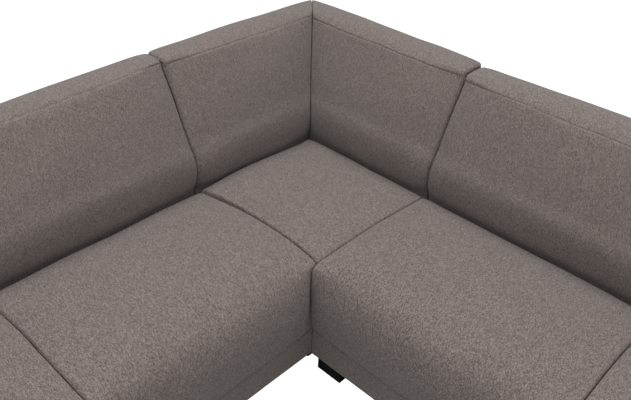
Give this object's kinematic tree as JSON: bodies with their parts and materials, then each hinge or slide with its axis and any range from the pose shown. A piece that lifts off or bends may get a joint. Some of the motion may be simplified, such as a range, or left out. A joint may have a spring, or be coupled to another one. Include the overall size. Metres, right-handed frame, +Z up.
{
  "type": "corner sofa",
  "caption": "L-shaped upholstered corner sofa with fixed seats, reclined backs, flat top bands, plinth borders, box arms and black block feet; one wing unhooks.",
  "frame": {"origin": "on the floor, below the middle of the whole sofa's box", "axes": "+X along the longer wing away from the corner, +Y towards that wing's back, +Z up; the corner is at -X, +Y and the other wing runs along -Y"},
  "size_m": [2.595, 2.477, 0.8525],
  "materials": {
    "melange_fabric": "woven grey-brown melange upholstery cloth",
    "plinth_fabric": "the same cloth stretched flat over the plinth board",
    "rear_fabric": "the same cloth stretched flat over the rear and end panels",
    "dust_sheet": "thin black non-woven sheet",
    "deck_felt": "needled grey felt",
    "hardboard": "smooth brown hardboard",
    "spring_steel": "dark drawn spring wire",
    "zinc_steel": "bright zinc-plated steel",
    "black_plastic": "matt black moulded plastic",
    "chipboard": "raw chipboard",
    "pine": "raw planed pine"
  },
  "bodies": {
    "corner_unit": {"connector_sockets": "zinc_steel", "corner_back_hardboards": "hardboard", "corner_back_posts": "pine", "corner_end_panel": "chipboard", "corner_left_back": "melange_fabric", "corner_rear_panel": "chipboard", "corner_right_back": "melange_fabric", "corner_seat": "melange_fabric", "corner_seat_springs": "spring_steel", "corner_top_rails": "pine", "corner_unit_deck_felts": "deck_felt", "corner_unit_dust_covers": "dust_sheet", "corner_unit_feet": "black_plastic", "corner_unit_foot_blocks": "pine", "corner_unit_foot_screws": "zinc_steel", "corner_unit_joint_plates": "zinc_steel", "corner_unit_plate_screws": "zinc_steel", "corner_unit_rear_covers": "rear_fabric", "corner_unit_spring_clips": "zinc_steel", "corner_unit_spring_rails": "pine", "left_arm_boards": "chipboard", "left_arm_cover": "melange_fabric", "left_back_hardboard": "hardboard", "left_back_posts": "pine", "left_cross_panels": "chipboard", "left_front_rail": "pine", "left_inner_back": "melange_fabric", "left_inner_seat": "melange_fabric", "left_outer_back": "melange_fabric", "left_outer_seat": "melange_fabric", "left_plinth": "plinth_fabric", "left_rear_panel": "chipboard", "left_seat_springs": "spring_steel", "left_top_rail": "pine"},
    "right_unit": {"connector_hooks": "zinc_steel", "right_arm_boards": "chipboard", "right_arm_cover": "melange_fabric", "right_back_hardboard": "hardboard", "right_back_posts": "pine", "right_cross_panels": "chipboard", "right_deck_felt": "deck_felt", "right_dust_cover": "dust_sheet", "right_front_rail": "pine", "right_inner_back": "melange_fabric", "right_inner_seat": "melange_fabric", "right_joint_plates": "zinc_steel", "right_outer_back": "melange_fabric", "right_outer_seat": "melange_fabric", "right_plate_screws": "zinc_steel", "right_plinth": "plinth_fabric", "right_rear_covers": "rear_fabric", "right_rear_panel": "chipboard", "right_seat_springs": "spring_steel", "right_spring_clips": "zinc_steel", "right_spring_rails": "pine", "right_top_rail": "pine", "right_unit_feet": "black_plastic", "right_unit_foot_blocks": "pine", "right_unit_foot_screws": "zinc_steel"}
  },
  "joints": [
    {"name": "right_unit_lift", "type": "slide", "parent": "corner_unit", "child": "right_unit", "axis": [0, 0, 1], "range_m": [0, 0.05]}
  ]
}
